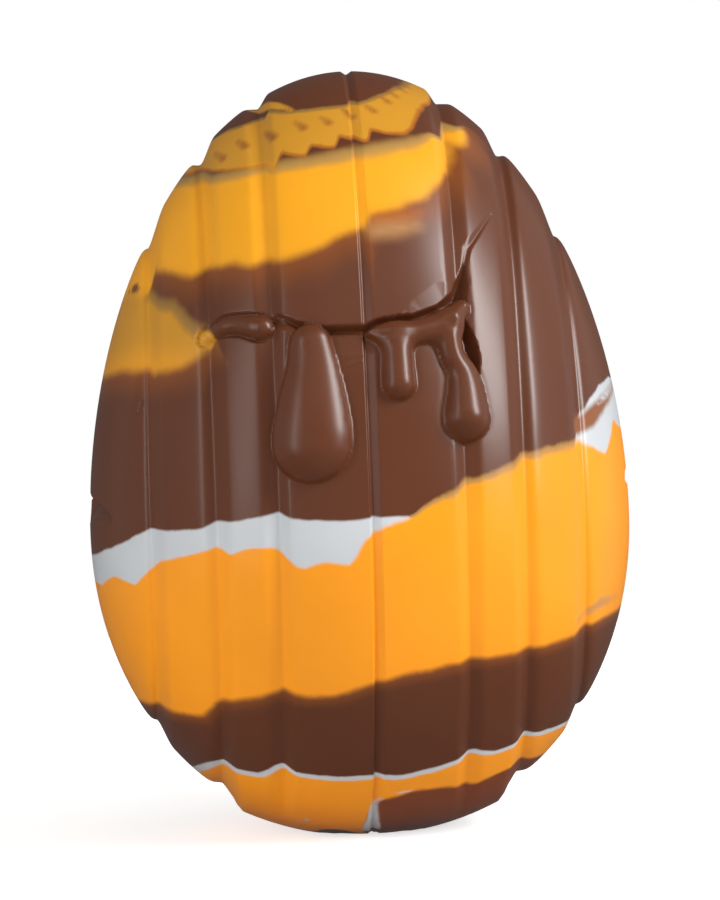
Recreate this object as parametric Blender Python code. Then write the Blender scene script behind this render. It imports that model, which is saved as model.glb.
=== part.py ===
"""A moulded chocolate Easter egg, upright on a small flat foot.

The egg is cut lengthwise into staves that step down towards its sides. A crack runs across each
of its two halves, and melted chocolate has set in drips below it. Both halves come from the same
mould, so the back is the front turned half a turn about the vertical axis.

The frame is metres, +Z up, with the front towards -Y and the origin under the middle of the foot.
"""

import math

import bmesh
import bpy
import numpy as np
from mathutils import Matrix, Vector

MM = 0.001

# The smooth egg that everything is cut from.
EGG_HEIGHT = 150 * MM
EQUATOR_Z = 65 * MM
EQUATOR_RADIUS = 53.5 * MM
BLUNT_REACH = 67 * MM  # the blunt end would reach this far below the equator without its foot
TOP_POWER = 1.8
BLUNT_POWER = 2.07

# The staves: (edge from the middle plane, how far the next stave is set back).
STAVE_STEPS = ((16.0 * MM, 2.8 * MM), (27.3 * MM, 2.2 * MM), (39.5 * MM, 1.3 * MM))
STEP_WALL = 1.4 * MM
MIDDLE_GROOVE_HALF_WIDTH = 0.9 * MM
MIDDLE_GROOVE_DEPTH = 0.8 * MM

# The blunt cap: the two inner staves run together and swell a little above the foot.
CAP_SWELL = 0.1
CAP_EDGE = 25.2 * MM
CAP_EDGE_RUN = 2.0 * MM
CAP_STARTS = 0.85  # how steeply down the middle axis has to be looked at, as a sine
CAP_FULL = 0.99

# How finely the egg is faceted.
AROUND = 48
WIDEST_FACET = 4.2 * MM

# The crack, from left to right: (x, z, width above, width below, depth), in millimetres.
GAP = (
    (-16.4, 102.0, 0.5, 0.5, 0.7),
    (-12.4, 100.1, 0.9, 1.2, 1.9),
    (-8.0, 99.2, 1.0, 1.3, 2.6),
    (-0.5, 99.3, 1.0, 1.3, 2.8),
    (4.0, 100.7, 1.0, 1.3, 2.8),
    (8.8, 101.2, 1.0, 1.3, 2.8),
    (13.8, 102.8, 1.0, 1.3, 2.6),
    (17.2, 105.4, 1.1, 1.2, 2.4),
    (19.4, 110.6, 1.1, 1.2, 2.2),
    (21.6, 115.2, 0.8, 0.9, 1.5),
    (25.4, 120.2, 0.2, 0.2, 0.3),
)
LOWER_CHAMFER = (
    (-7.8, 98.9, 0.3, 4.6, 1.2),
    (0.0, 99.1, 0.3, 5.0, 1.2),
)
RIGHT_CHIP = (
    (8.4, 101.4, 1.6, 0.4, 0.5),
    (11.4, 102.0, 3.4, 0.6, 0.9),
    (15.4, 103.9, 3.6, 0.8, 1.1),
    (17.0, 105.2, 2.6, 0.6, 0.9),
)
UPPER_CHIP = (
    (18.6, 109.6, 1.8, 0.3, 0.8),
    (20.4, 113.6, 2.6, 0.3, 1.1),
    (25.6, 120.6, 0.6, 0.2, 0.3),
)
LEFT_CHIP = (
    (-16.8, 101.2, 1.4, 1.6, 0.9),
    (-12.6, 99.8, 0.8, 0.8, 0.9),
)
HAIRLINE = (
    (-29.5, 99.4, 0.4, 0.4, 0.5),
    (-34.7, 93.4, 0.4, 0.4, 0.5),
    (-38.0, 89.0, 0.4, 0.4, 0.5),
    (-43.2, 85.4, 0.4, 0.4, 0.5),
    (-47.5, 76.0, 0.4, 0.4, 0.5),
    (-51.4, 67.4, 0.5, 0.5, 0.7),
)
SIDE_NOTCH = (
    (-53.45, 66.0, 1.2, 1.2, 1.9),
    (-52.0, 65.8, 1.2, 1.3, 1.6),
    (-48.0, 64.6, 0.3, 0.4, 0.3),
)
CAVITY = (
    (19.9, 101.2, 0.7, 0.7, 1.6),
    (20.3, 97.2, 1.1, 1.1, 3.0),
    (21.1, 92.8, 0.9, 0.9, 2.6),
    (21.8, 89.4, 0.2, 0.2, 0.4),
)
SLOT = ((-30.2, 99.2, 2.2), (-26.2, 100.7, 2.9), (-20.2, 100.4, 3.4))
SLOT_FLATNESS = 0.55
GROOVE_OUTSIDE = 2.5 * MM

# The drips: how thick each is for its width, and the (x, z, radius) of the beads that it runs
# through, in millimetres.
DRIPS = {
    "drip_large": (0.48, ((-10.4, 95.9, 3.9), (-11.2, 79.2, 7.8))),
    "drip_slot": (1.0, ((-30.1, 98.9, 1.6), (-26.2, 100.3, 1.9), (-20.3, 99.9, 2.6))),
    "drip_short": (0.75, ((5.4, 96.8, 3.1), (5.3, 88.7, 3.5))),
    "drip_bridge": (
        0.75,
        ((1.0, 98.6, 0.9), (5.2, 97.6, 2.6), (12.6, 98.2, 2.5), (17.4, 100.0, 2.6)),
    ),
    "drip_nub": (1.0, ((17.4, 100.0, 2.4), (19.2, 103.0, 1.7))),
    "drip_long": (0.75, ((17.4, 99.4, 2.9), (18.0, 92.6, 2.7), (17.7, 82.6, 5.1))),
}
BEAD_AROUND = 12
BEAD_RINGS = 8

CHOCOLATE_RGBA = (0.105, 0.035, 0.017, 1.0)
CHOCOLATE_ROUGHNESS = 0.38
SMOOTH_UNDER = math.radians(30)


def smooth_step(value):
    """0 below 0, 1 above 1, and an S curve between."""
    t = np.clip(value, 0.0, 1.0)
    return t * t * (3.0 - 2.0 * t)


def egg_radius(z):
    """Radius of the smooth egg at height z."""
    rise = np.clip((z - EQUATOR_Z) / (EGG_HEIGHT - EQUATOR_Z), 0.0, 1.0)
    fall = np.clip((EQUATOR_Z - z) / BLUNT_REACH, 0.0, 1.0)
    share = np.where(z > EQUATOR_Z, 1.0 - rise**TOP_POWER, 1.0 - fall**BLUNT_POWER)
    return EQUATOR_RADIUS * np.sqrt(np.clip(share, 0.0, 1.0))


def stave_set_back(x, edge, step):
    """How much narrower the egg is beside one stave edge: a wall, then a face square to the front."""
    wall = smooth_step((x - edge) / STEP_WALL)
    face = np.clip(1.0 - (x - edge - STEP_WALL) / step, 0.0, 1.0)
    return step * wall * face


def width_at(x, down):
    """The smooth egg's own half-width whose outline the stave at x follows. down is 1 in the cap."""
    x = abs(x)
    inner, *outer = STAVE_STEPS
    width = x + (1.0 - down) * stave_set_back(x, *inner)
    for step in outer:
        width = width + stave_set_back(x, *step)
    swell = 1.0 - smooth_step((x - CAP_EDGE) / CAP_EDGE_RUN)
    return width - down * CAP_SWELL * x * swell


def reach_of(x, angle):
    """Distance from the middle axis to the surface at x, in the direction angle from +Y towards +Z."""
    down = smooth_step((-np.sin(angle) - CAP_STARTS) / (CAP_FULL - CAP_STARTS))
    width = width_at(x, down)
    near, far = np.zeros_like(angle), np.full_like(angle, EGG_HEIGHT)
    for _ in range(40):
        middle = (near + far) / 2
        span = np.hypot(width, middle * np.cos(angle))
        inside = span < egg_radius(EQUATOR_Z + middle * np.sin(angle))
        near, far = np.where(inside, middle, near), np.where(inside, far, middle)
    groove = MIDDLE_GROOVE_DEPTH * np.clip(1.0 - abs(x) / MIDDLE_GROOVE_HALF_WIDTH, 0.0, 1.0)
    return np.maximum(near - groove, 0.0)


def stave_stations():
    """Places across one side of the egg, from the middle to the end, dense where a stave steps."""
    marks = [0.0, MIDDLE_GROOVE_HALF_WIDTH]
    for edge, step in STAVE_STEPS:
        marks += [edge, edge + STEP_WALL / 2, edge + STEP_WALL, edge + STEP_WALL + step]
    marks.append(CAP_EDGE)
    round_end = EQUATOR_RADIUS - STAVE_STEPS[-1][0]
    marks += [EQUATOR_RADIUS - round_end * share for share in (0.6, 0.4, 0.22, 0.1, 0.03, 0.0)]
    marks.sort()
    stations = [marks[0]]
    for mark in marks[1:]:
        parts = max(1, math.ceil((mark - stations[-1]) / WIDEST_FACET))
        start = stations[-1]
        stations += [start + (mark - start) * k / parts for k in range(1, parts + 1)]
    return stations


def egg_mesh():
    """The staved egg as one closed mesh, shaped from a sphere whose poles are the egg's two sides."""
    half = stave_stations()
    across = [-x for x in reversed(half[1:])] + half
    rings = len(across) - 1
    bm = bmesh.new()
    bmesh.ops.create_uvsphere(
        bm, u_segments=AROUND, v_segments=rings, radius=1.0, matrix=Matrix.Rotation(math.pi / 2, 4, "Y")
    )
    for vert in bm.verts:
        ring = round(math.acos(max(-1.0, min(1.0, -vert.co.x))) / math.pi * rings)
        angle = np.array(math.atan2(vert.co.z, vert.co.y))
        x = across[ring]
        reach = float(reach_of(x, angle))
        height = max(0.0, EQUATOR_Z + reach * math.sin(angle))
        vert.co = (x, reach * math.cos(angle), height)
    mesh = bpy.data.meshes.new("egg")
    bm.to_mesh(mesh)
    bm.free()
    return mesh


def front_point(x, z):
    """The point of the staved front at (x, z), in metres."""
    depth = math.sqrt(max(0.0, float(egg_radius(z)) ** 2 - width_at(x, 0.0) ** 2))
    return Vector((x, -depth, z))


def front_normal(point):
    """The smooth egg's outward direction at a point of it."""
    step = 0.1 * MM
    slope = float(egg_radius(point.z + step) - egg_radius(point.z - step)) / (2 * step)
    radius = float(egg_radius(point.z))
    return Vector((point.x, point.y, -radius * slope)).normalized()


def groove_cutter(name, route):
    """A cutter with a lopsided V section that follows a route on the front."""
    centres = [front_point(x * MM, z * MM) for x, z, *_ in route]
    bm = bmesh.new()
    rings = []
    for k, (_, _, above, below, depth) in enumerate(route):
        centre = centres[k]
        out = front_normal(centre)
        along = centres[min(k + 1, len(centres) - 1)] - centres[max(k - 1, 0)]
        side = out.cross(along).normalized()
        corners = (side * above * MM, out * GROOVE_OUTSIDE, side * -below * MM, out * -depth * MM)
        rings.append([bm.verts.new(centre + corner) for corner in corners])
    for near, far in zip(rings, rings[1:]):
        for k in range(len(near)):
            after = (k + 1) % len(near)
            bm.faces.new((near[k], near[after], far[after], far[k]))
    bm.faces.new(rings[0])
    bm.faces.new(rings[-1])
    bmesh.ops.recalc_face_normals(bm, faces=bm.faces[:])
    return helper_object(name, bm)


def bead_chain(name, beads, flatness):
    """One helper for each stretch between two beads: the two flattened balls and their tangent cone."""
    made = []
    for number, (first, second) in enumerate(zip(beads, beads[1:])):
        ends = [front_point(bead[0] * MM, bead[1] * MM) for bead in (first, second)]
        radii = [bead[2] * MM for bead in (first, second)]
        run = ends[1] - ends[0]
        split = (radii[0] - radii[1]) / run.length
        out = front_normal((ends[0] + ends[1]) / 2)
        side = out.cross(run).normalized()
        out = run.cross(side).normalized()
        turn = Matrix((side, out, run.normalized())).transposed()
        bm = bmesh.new()
        bmesh.ops.create_uvsphere(bm, u_segments=BEAD_AROUND, v_segments=BEAD_RINGS, radius=1.0)
        for vert in bm.verts:
            end = 1 if vert.co.z > split else 0
            flat = Vector((vert.co.x, vert.co.y * flatness, vert.co.z)) * radii[end]
            vert.co = ends[end] + turn @ flat
        made.append(helper_object(f"{name}_{number}", bm))
    return made


def helper_object(name, bm):
    """A hidden object that only a Boolean uses."""
    mesh = bpy.data.meshes.new(name)
    bm.to_mesh(mesh)
    bm.free()
    helper = bpy.data.objects.new(name, mesh)
    helper.hide_render = True
    helper.display_type = "WIRE"
    bpy.context.scene.collection.objects.link(helper)
    return helper


def half_turned(helper):
    """The same helper on the back of the egg."""
    copy = bpy.data.objects.new(f"{helper.name}_back", helper.data)
    copy.rotation_euler.z = math.pi
    copy.hide_render = True
    copy.display_type = "WIRE"
    bpy.context.scene.collection.objects.link(copy)
    return copy


def use(body, helpers, operation):
    """Adds a Boolean for each helper, and for its copy on the back."""
    for helper in helpers:
        for operand in (helper, half_turned(helper)):
            boolean = body.modifiers.new(operand.name, "BOOLEAN")
            boolean.operation = operation
            boolean.solver = "EXACT"
            boolean.object = operand


def crack_cutters():
    """The crack with its chips, the hairline that leads to the side, and the notch there."""
    routes = {
        "gap": GAP,
        "lower_chamfer": LOWER_CHAMFER,
        "left_chip": LEFT_CHIP,
        "right_chip": RIGHT_CHIP,
        "upper_chip": UPPER_CHIP,
        "hairline": HAIRLINE,
        "side_notch": SIDE_NOTCH,
    }
    return [groove_cutter(name, route) for name, route in routes.items()]


def chocolate():
    """Satin milk chocolate."""
    material = bpy.data.materials.new("chocolate")
    material.use_nodes = True
    shader = material.node_tree.nodes["Principled BSDF"]
    shader.inputs["Base Color"].default_value = CHOCOLATE_RGBA
    shader.inputs["Roughness"].default_value = CHOCOLATE_ROUGHNESS
    shader.inputs["Metallic"].default_value = 0.0
    return material


def main():
    for old in list(bpy.data.objects):
        bpy.data.objects.remove(old)
    egg = bpy.data.objects.new("egg", egg_mesh())
    bpy.context.scene.collection.objects.link(egg)
    egg.data.materials.append(chocolate())
    egg.data.shade_smooth()
    egg.data.set_sharp_from_angle(angle=SMOOTH_UNDER)
    use(egg, crack_cutters(), "DIFFERENCE")
    use(egg, bead_chain("slot", SLOT, SLOT_FLATNESS), "DIFFERENCE")
    for name, (flatness, beads) in DRIPS.items():
        use(egg, bead_chain(name, beads, flatness), "UNION")
    use(egg, [groove_cutter("cavity", CAVITY)], "DIFFERENCE")


main()
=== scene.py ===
"""The looks of the moulded chocolate egg: fine staves, crack and drips, and the marbled satin skin.

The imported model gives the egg's box. One closed mesh is grown over it from a ball whose poles are
the egg's two sides, cut finer wherever the relief is fine, and carved. Bands of milk, orange and
white chocolate are kept on its vertices as distances to their borders, which the material turns
into colour. Both halves of the egg come from the same mould, so the back is the front turned half
a turn, but each was painted by hand, so the bands run on round the back in their own way.

Lengths are metres unless a name or comment says millimetres.
"""

import logging
import math
from dataclasses import dataclass, field
from enum import Enum

import bmesh
import bpy
import numpy as np
from mathutils import Matrix, Vector


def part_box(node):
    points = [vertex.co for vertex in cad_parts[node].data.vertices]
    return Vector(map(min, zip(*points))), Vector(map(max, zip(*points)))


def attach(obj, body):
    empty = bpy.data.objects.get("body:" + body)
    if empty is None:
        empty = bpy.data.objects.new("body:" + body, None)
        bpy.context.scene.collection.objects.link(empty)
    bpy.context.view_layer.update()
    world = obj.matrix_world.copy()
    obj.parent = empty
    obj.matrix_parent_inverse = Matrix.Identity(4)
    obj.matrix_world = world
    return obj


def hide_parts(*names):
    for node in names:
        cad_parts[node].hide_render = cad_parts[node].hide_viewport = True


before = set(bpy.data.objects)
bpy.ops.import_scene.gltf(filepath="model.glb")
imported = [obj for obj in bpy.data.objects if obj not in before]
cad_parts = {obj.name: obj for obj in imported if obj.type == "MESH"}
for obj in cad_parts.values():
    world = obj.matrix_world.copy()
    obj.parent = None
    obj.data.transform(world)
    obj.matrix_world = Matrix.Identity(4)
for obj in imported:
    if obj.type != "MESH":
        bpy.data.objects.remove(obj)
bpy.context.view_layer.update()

MM = 0.001
log = logging.getLogger("chocolate_egg")


def smooth_step(value: np.ndarray) -> np.ndarray:
    """0 below 0, 1 above 1, and an S curve between."""
    t = np.clip(value, 0.0, 1.0)
    return t * t * (3.0 - 2.0 * t)


def soft_positive(value: np.ndarray, rounding: float) -> np.ndarray:
    """The value where it is well above 0, and 0 where it is well below, with a rounded turn."""
    return (value + np.sqrt(value**2 + rounding**2)) / 2.0


def unit(vectors: np.ndarray) -> np.ndarray:
    """The same directions with a length of 1."""
    return vectors / np.maximum(np.linalg.norm(vectors, axis=-1, keepdims=True), 1e-12)


def half_turned(points: np.ndarray) -> np.ndarray:
    """The points turned half a turn about the vertical axis."""
    return points * np.array([-1.0, -1.0, 1.0])


@dataclass(frozen=True)
class Stave:
    """One lengthwise step of the egg.

    edge is its distance from the middle plane, where a crest turns over into a wall of the given
    width. step is how far the next stave is set back, and rounding how softly its flat turns into
    its face.
    """

    edge: float
    step: float
    wall: float
    rounding: float


@dataclass(frozen=True)
class StavedForm:
    """The smooth egg and the staves that are cut into it."""

    radius: float
    height: float
    equator: float = 60.5 * MM
    blunt_reach: float = 62.1 * MM
    top_power: float = 1.93
    blunt_power: float = 2.04
    staves: tuple[Stave, ...] = (
        Stave(16.0 * MM, 2.8 * MM, 1.6 * MM, 0.5 * MM),
        Stave(27.0 * MM, 2.2 * MM, 2.1 * MM, 1.1 * MM),
        Stave(39.2 * MM, 1.3 * MM, 2.1 * MM, 0.9 * MM),
    )
    crest: float = 0.8 * MM
    lean: float = 3.6 * MM
    lean_grows: tuple[float, float] = (30 * MM, 38 * MM)
    lean_ends: float = 43 * MM
    groove_place: float = 0.4 * MM
    groove_steep_side: float = 0.45 * MM
    groove_slack_side: float = 1.8 * MM
    groove_depth: float = 0.8 * MM
    groove_rounding: float = 0.12
    groove_lip: float = 0.0 * MM
    cap_swell: float = 0.1
    cap_edge: float = 25.2 * MM
    cap_edge_run: float = 2.0 * MM
    cap_starts: float = 0.85
    cap_full: float = 0.99
    widest_facet: float = 1.4 * MM
    wall_facet: float = 0.24 * MM
    segments_around: int = 192

    def egg_radius(self, z: np.ndarray) -> np.ndarray:
        """Radius of the smooth egg at height z."""
        rise = np.clip((z - self.equator) / (self.height - self.equator), 0.0, 1.0)
        fall = np.clip((self.equator - z) / self.blunt_reach, 0.0, 1.0)
        share = np.where(z > self.equator, 1.0 - rise**self.top_power, 1.0 - fall**self.blunt_power)
        return self.radius * np.sqrt(np.clip(share, 0.0, 1.0))

    def set_back(self, x: np.ndarray, stave: Stave) -> np.ndarray:
        """How much narrower the egg is beside one stave: a wall, then a face square to the front."""
        wall = smooth_step((x - stave.edge + self.crest) / (stave.wall + self.crest))
        face = stave.step - (x - stave.edge - stave.wall)
        return wall * np.minimum(soft_positive(face, stave.rounding), stave.step)

    def width_at(self, x: np.ndarray, down: np.ndarray) -> np.ndarray:
        """The smooth egg's own half-width whose outline the stave at x follows.

        Args:
            x: Places across the egg.
            down: 1 in the cap of the blunt end, 0 above it.

        Returns:
            The half-widths.
        """
        x = np.abs(x)
        inner, *outer = self.staves
        width = x + (1.0 - down) * self.set_back(x, inner)
        for stave in outer:
            width = width + self.set_back(x, stave)
        swell = 1.0 - smooth_step((x - self.cap_edge) / self.cap_edge_run)
        return width - down * self.cap_swell * x * swell

    def lean_at(self, x: np.ndarray, z: np.ndarray) -> np.ndarray:
        """How far inwards the outermost stave leans at height z, for places across the egg."""
        marks = (*self.lean_grows, self.lean_ends, self.radius)
        share = np.interp(np.abs(x), marks, (0.0, 1.0, 1.0, 0.0))
        rise = np.clip((z - self.equator) / (self.height - self.equator), 0.0, 1.0)
        return self.lean * share * rise**2

    def reach(self, x: np.ndarray, angle: np.ndarray) -> np.ndarray:
        """Distance from the middle axis to the surface.

        Args:
            x: Places across the egg.
            angle: Directions about the axis through the two sides, from +Y towards +Z.

        Returns:
            The distances, which stop at the flat foot.
        """
        down = smooth_step((-np.sin(angle) - self.cap_starts) / (self.cap_full - self.cap_starts))
        width = self.width_at(x, down)
        near, far = np.zeros_like(angle), np.full_like(angle, self.height)
        for _ in range(36):
            middle = (near + far) / 2.0
            z = self.equator + middle * np.sin(angle)
            span = np.hypot(width - self.lean_at(x, z), middle * np.cos(angle))
            inside = span < self.egg_radius(z)
            near, far = np.where(inside, middle, near), np.where(inside, far, middle)
        reach = np.maximum(near - self.middle_groove(x, angle), 0.0)
        to_foot = self.equator / np.maximum(-np.sin(angle), 1e-6)
        return np.where(np.sin(angle) < 0.0, np.minimum(reach, to_foot), reach)

    def middle_groove(self, x: np.ndarray, angle: np.ndarray) -> np.ndarray:
        """Depth of the groove along the middle, a lopsided V whose steep side is on the left.

        Args:
            x: Places across the egg.
            angle: Directions about the axis through the two sides.

        Returns:
            The depths, less the raised lips. The lopsidedness changes sides over the two ends.
        """
        facing = np.clip(-np.cos(angle) / 0.3, -1.0, 1.0)
        offset = x + self.groove_place * facing
        middle = (self.groove_steep_side + self.groove_slack_side) / 2.0
        lean = (self.groove_slack_side - self.groove_steep_side) / 2.0 * facing
        share = np.abs(offset) / (middle + lean * np.sign(offset))
        lip = np.exp(-(((share - 1.2) / 0.25) ** 2))
        floor = np.sqrt(share**2 + self.groove_rounding**2)
        return self.groove_depth * np.clip(1.0 - floor, 0.0, 1.0) - self.groove_lip * lip

    def stations(self) -> np.ndarray:
        """Places across the whole egg, closer together where a stave steps."""
        turn = np.linspace(0.0, math.pi / 2, 6001)
        x = self.radius * np.sin(turn)
        facet = np.full_like(x, self.widest_facet)
        facet[x < 1.2 * self.groove_slack_side] = 0.6 * self.wall_facet
        for stave in self.staves:
            foot = stave.edge + stave.wall
            near_wall = (x > stave.edge - self.crest) & (x < foot + 0.4 * MM)
            face_end = np.abs(x - foot - stave.step) < 2.0 * stave.rounding
            facet[near_wall] = self.wall_facet
            facet[face_end] = 1.8 * self.wall_facet
        density = self.radius / facet
        steps = (density[1:] + density[:-1]) / 2.0 * np.diff(turn)
        count = np.concatenate(([0.0], np.cumsum(steps)))
        marks = np.linspace(0.0, count[-1], math.ceil(count[-1]) + 1)
        half = self.radius * np.sin(np.interp(marks, count, turn))
        return np.concatenate((-half[:0:-1], half))

    def front_point(self, x: float, z: float) -> np.ndarray:
        """The point of the staved front at (x, z)."""
        width = float(self.width_at(np.array(x), np.array(0.0)))
        depth = math.sqrt(max(0.0, float(self.egg_radius(np.array(z))) ** 2 - width**2))
        return np.array([x, -depth, z])

    def normals(self, points: np.ndarray) -> np.ndarray:
        """The smooth egg's outward directions at points near it."""
        step = 0.1 * MM
        z = np.clip(points[..., 2], step, self.height - step)
        slope = (self.egg_radius(z + step) - self.egg_radius(z - step)) / (2.0 * step)
        up = -np.hypot(points[..., 0], points[..., 1]) * slope
        return unit(np.stack((points[..., 0], points[..., 1], up), axis=-1))


@dataclass(frozen=True)
class Groove:
    """A lopsided groove along a route on the front.

    route holds (x, z, width above, width below, depth) in millimetres. power is 1 for a V section,
    and more for steeper walls and a flatter floor.
    """

    route: tuple[tuple[float, float, float, float, float], ...]
    power: float = 1.0

    def measure(self, form: StavedForm, points: np.ndarray) -> tuple[np.ndarray, np.ndarray]:
        """How deep the groove is at each point, and how far outside its edge each point lies.

        Args:
            form: The egg that the route lies on.
            points: Points of its surface.

        Returns:
            The depths and the distances to the groove's edge.
        """
        depth = np.zeros(len(points))
        outside = np.full(len(points), 1.0)
        places = [form.front_point(x * MM, z * MM) for x, z, *_ in self.route]
        for first, second, start, end in zip(self.route, self.route[1:], places, places[1:]):
            out = form.normals((start + end) / 2.0)
            run = (end - start) - np.dot(end - start, out) * out
            length = float(np.linalg.norm(run))
            along, side = run / length, np.cross(out, run / length)
            offset = points - start
            travel = offset @ along
            share = np.clip(travel / length, 0.0, 1.0)
            lateral = offset @ side
            above, below, deep = (
                (a + (b - a) * share) * MM for a, b in zip(first[2:], second[2:])
            )
            distance = np.hypot(lateral, travel - share * length)
            width = np.where(lateral > 0.0, above, below)
            near = np.abs(offset @ out) < 8 * MM
            cut = deep * np.clip(1.0 - (distance / width) ** self.power, 0.0, 1.0)
            depth = np.where(near, np.maximum(depth, cut), depth)
            outside = np.where(near, np.minimum(outside, distance - width), outside)
        return depth, outside


Beads = tuple[tuple[float, float, float], ...]


def smooth_run(beads: Beads, spans: int = 4) -> Beads:
    """More beads on one smooth curve through the given ones.

    Args:
        beads: The given beads.
        spans: How many stretches to make between two of them.

    Returns:
        The beads, or the same two where only two are given.
    """
    if len(beads) < 3:
        return beads
    known = np.array(beads)
    known = np.vstack((2.0 * known[0] - known[1], known, 2.0 * known[-1] - known[-2]))
    run = []
    for before, start, end, after in zip(known, known[1:], known[2:], known[3:]):
        for t in np.arange(spans) / spans:
            bend = (2.0 * before - 5.0 * start + 4.0 * end - after) * t**2
            turn = (3.0 * start - 3.0 * end + after - before) * t**3
            run.append(start + ((end - before) * t + bend + turn) / 2.0)
    return tuple(tuple(bead) for bead in (*run, known[-2]))


@dataclass(frozen=True)
class Chain:
    """A rounded run through beads (x, z, radius), in millimetres.

    flatness is how high it stands for its radius, and fullness how flat its top is: 2 is round.
    """

    beads: Beads
    flatness: float
    fullness: float = 2.0


@dataclass(frozen=True)
class ChainField:
    """What a set of chains measures at each point: inset from the edge, and the chain's own sizes."""

    inset: np.ndarray
    radius: np.ndarray
    level: np.ndarray
    flatness: np.ndarray
    fullness: np.ndarray

    def joined(self, other: "ChainField", blend: float) -> "ChainField":
        """Both sets run together, with a rounded valley about as wide as blend."""
        share = np.clip(0.5 + 0.5 * (other.inset - self.inset) / blend, 0.0, 1.0)
        mixed = {
            name: getattr(self, name) * (1.0 - share) + getattr(other, name) * share
            for name in ("inset", "radius", "level", "flatness", "fullness")
        }
        mixed["inset"] = mixed["inset"] + blend * share * (1.0 - share)
        return ChainField(**mixed)

    def thickness(self, sharpness: float) -> np.ndarray:
        """How high the chains stand, from 0 at the edge to flatness times the radius."""
        out = np.clip(1.0 - self.inset / self.radius, 0.0, 1.0) * sharpness
        rim = np.sqrt(1.0 - sharpness**self.fullness)
        curve = (np.sqrt(1.0 - out**self.fullness) - rim) / (1.0 - rim)
        return self.flatness * self.radius * curve


@dataclass(frozen=True)
class ChainGroup:
    """Chains that were modelled together, on one plane square to the egg at (x, z) millimetres."""

    centre: tuple[float, float]
    chains: tuple[Chain, ...]
    hollow: bool = False
    blend: float = 1.5 * MM
    sharpness: float = 0.96
    skirt: float = 0.3 * MM
    sunk: float = 0.0
    crease: float = 0.06 * MM
    crease_width: float = 0.4 * MM

    def axes(self, form: StavedForm) -> tuple[np.ndarray, np.ndarray, np.ndarray, np.ndarray]:
        """The plane's origin, its two directions, and the direction out of the egg."""
        origin = form.front_point(self.centre[0] * MM, self.centre[1] * MM)
        out = form.normals(origin)
        right = unit(np.cross(np.array([0.0, 0.0, 1.0]), out))
        return origin, right, np.cross(out, right), out

    def chain_field(self, form: StavedForm, chain: Chain, flat: np.ndarray) -> ChainField:
        """Measures one chain at the points' places on the plane."""
        origin, right, up, out = self.axes(form)
        run_of_beads = smooth_run(chain.beads)
        beads = [form.front_point(x * MM, z * MM) - origin for x, z, _ in run_of_beads]
        radii = [bead[2] * MM for bead in run_of_beads]
        field_now: ChainField | None = None
        for k in range(len(beads) - 1):
            start = np.array([beads[k] @ right, beads[k] @ up])
            run = np.array([beads[k + 1] @ right, beads[k + 1] @ up]) - start
            length = float(np.linalg.norm(run))
            slope = np.clip((radii[k + 1] - radii[k]) / length, -0.9, 0.9)
            along = (flat - start) @ run / length
            aside = np.abs((flat - start) @ np.array([-run[1], run[0]])) / length
            share = np.clip((along + aside * slope / np.sqrt(1.0 - slope**2)) / length, 0.0, 1.0)
            distance = np.linalg.norm(flat - start - share[:, None] * run, axis=1)
            radius = radii[k] + (radii[k + 1] - radii[k]) * share
            level = beads[k] @ out + (beads[k + 1] @ out - beads[k] @ out) * share
            same = np.ones_like(share)
            piece = ChainField(
                radius - distance, radius, level, same * chain.flatness, same * chain.fullness
            )
            field_now = piece if field_now is None else field_now.joined(piece, 0.01 * MM)
        return field_now

    def measure(self, form: StavedForm, points: np.ndarray) -> tuple[ChainField, np.ndarray]:
        """Measures all the chains, and how far each point lies out of the plane."""
        origin, right, up, out = self.axes(form)
        offset = points - origin
        flat = np.stack((offset @ right, offset @ up), axis=1)
        whole: ChainField | None = None
        for chain in self.chains:
            piece = self.chain_field(form, chain, flat)
            whole = piece if whole is None else whole.joined(piece, self.blend)
        return whole, offset @ out

    def apply(self, form: StavedForm, points: np.ndarray) -> np.ndarray:
        """Raises the surface to the chains, or sinks it if the group is hollow.

        Args:
            form: The egg that the chains lie on.
            points: Points of the surface so far.

        Returns:
            The moved points.
        """
        found, height = self.measure(form, points)
        out = self.axes(form)[3]
        facing = np.abs(height) < 25 * MM
        thickness = found.thickness(self.sharpness) - self.sunk
        share = smooth_step(found.inset / self.skirt)
        if self.hollow:
            move = np.minimum(found.level - thickness - height, 0.0) * share
        else:
            move = np.maximum(found.level + thickness - height, 0.0) * share
            beside = (found.inset + 0.6 * self.crease_width) / self.crease_width
            move = move - self.crease * np.exp(-(beside**2)) * (1.0 - share)
        return points + np.where(facing, move, 0.0)[:, None] * out


@dataclass(frozen=True)
class FrontRelief:
    """The crack, its chips, the notches at the sides, and the drips, on one half of the egg."""

    grooves: tuple[Groove, ...]
    groups: tuple[ChainGroup, ...]
    cavity: Groove
    finest: float = 0.24 * MM
    grade: float = 0.35

    def facet_at(self, form: StavedForm, points: np.ndarray, widest: float) -> np.ndarray:
        """How long an edge may be at each point, so that the relief is drawn cleanly."""
        facet = np.full(len(points), widest)
        for groove in (*self.grooves, self.cavity):
            outside = groove.measure(form, points)[1]
            facet = np.minimum(facet, self.finest + self.grade * np.maximum(outside, 0.0))
        for group in self.groups:
            found, height = group.measure(form, points)
            beside = np.minimum(np.abs(found.inset), 1.4 * MM + 0.15 * np.abs(found.inset))
            wanted = np.where(np.abs(height) < 25 * MM, self.finest + self.grade * beside, widest)
            facet = np.minimum(facet, wanted)
        return facet

    def carve(self, form: StavedForm, points: np.ndarray) -> np.ndarray:
        """Cuts the grooves, raises the drips over them, and cuts the cavity beside the last drip."""
        depth = np.zeros(len(points))
        for groove in self.grooves:
            depth = np.maximum(depth, groove.measure(form, points)[0])
        carved = points - form.normals(points) * depth[:, None]
        for group in self.groups:
            carved = group.apply(form, carved)
        hole = self.cavity.measure(form, points)[0]
        return carved - form.normals(points) * hole[:, None]


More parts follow.
